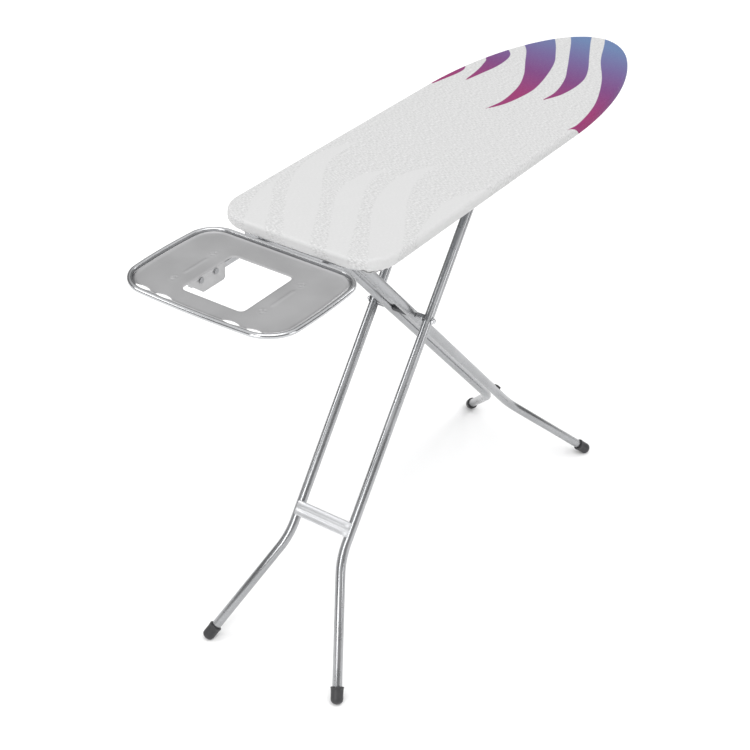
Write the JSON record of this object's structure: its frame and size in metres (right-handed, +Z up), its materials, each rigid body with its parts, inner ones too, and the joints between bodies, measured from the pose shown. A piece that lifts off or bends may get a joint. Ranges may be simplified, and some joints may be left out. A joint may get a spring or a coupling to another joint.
{
  "type": "ironing board",
  "caption": "Folding ironing board with a padded, tapered top, a crossing scissor frame of bent steel tubes with end caps, and a steam iron rest at its square end.",
  "frame": {"origin": "on the floor, under the middle of the whole object's outline, with the legs open", "axes": "+Z up, +X along the board from the iron rest to the nose, +Y to the left when looking from the iron rest to the nose"},
  "size_m": [1.404, 0.34, 0.925],
  "materials": {
    "cover_fabric": "fine woven cotton, matte, printed with a faint flame pattern",
    "pad_foam": "open-cell foam pad, matte",
    "zinc_sheet": "zinc-coated sheet steel, satin",
    "silver_paint": "silver powder coat, satin",
    "bright_steel": "bright zinc plate, semi-gloss",
    "spring_steel": "blued spring steel",
    "rest_sheet": "grey satin enamel on sheet steel",
    "dark_steel": "phosphated steel",
    "black_rubber": "soft black rubber",
    "black_plastic": "moulded nylon",
    "cap_plastic": "dark grey moulded plastic"
  },
  "bodies": {
    "board": {"cover": "cover_fabric", "foam_pad": "pad_foam", "top_sheet": "zinc_sheet", "left_rail": "silver_paint", "right_rail": "silver_paint", "tail_rail": "silver_paint", "nose_rail": "silver_paint", "hinge_cross_bar": "silver_paint", "rear_cross_bar": "silver_paint", "front_cross_bar": "silver_paint", "hinge_bracket": "zinc_sheet", "hinge_rod": "bright_steel", "hinge_rod_caps": "bright_steel", "height_rack": "zinc_sheet", "rack_rivets": "bright_steel", "lever_spring": "spring_steel", "tail_strip": "silver_paint", "rest_arm_left": "silver_paint", "rest_arm_right": "silver_paint", "rest_bracket_left": "rest_sheet", "rest_bracket_right": "rest_sheet", "rest_plate": "rest_sheet", "rest_rim": "bright_steel", "rest_bolts": "dark_steel"},
    "narrow_leg": {"narrow_tube_left": "silver_paint", "narrow_tube_right": "silver_paint", "head_channel": "silver_paint", "narrow_spacer": "black_plastic", "leg_bumpers": "black_rubber", "narrow_foot_left": "cap_plastic", "narrow_foot_right": "cap_plastic"},
    "wide_leg": {"wide_tube_left": "silver_paint", "wide_tube_right": "silver_paint", "brace_plate": "silver_paint", "pivot_rod": "bright_steel", "pivot_spacer_left": "bright_steel", "pivot_spacer_right": "bright_steel", "pivot_nuts": "bright_steel", "head_fitting_left": "cap_plastic", "head_fitting_right": "cap_plastic", "slide_rod": "bright_steel", "slide_glides": "cap_plastic", "wide_foot_left": "cap_plastic", "wide_foot_right": "cap_plastic"},
    "height_lever": {"lever_shaft": "bright_steel", "lever_pawl": "zinc_sheet", "lever_grip": "cap_plastic"}
  },
  "joints": [
    {"name": "leg_fold", "type": "hinge", "parent": "board", "child": "narrow_leg", "pos_m": [-0.33893, 0, 0.88], "axis": [0, -1, 0], "range_deg": [0, 45.51]},
    {"name": "leg_scissor", "type": "hinge", "parent": "narrow_leg", "child": "wide_leg", "pos_m": [-0.08, 0, 0.616], "axis": [0, 1, 0], "range_deg": [0, 101.08]},
    {"name": "height_release", "type": "hinge", "parent": "board", "child": "height_lever", "pos_m": [0.062, 0, 0.897], "axis": [0, -1, 0], "range_deg": [0, 6], "stiffness_Nm_per_rad": 1.5, "springref_deg": -4.58, "deforming": ["lever_spring"]}
  ],
  "couplings": [
    {"joint": "leg_scissor", "follows": "leg_fold", "ratio": 2.2167}
  ]
}
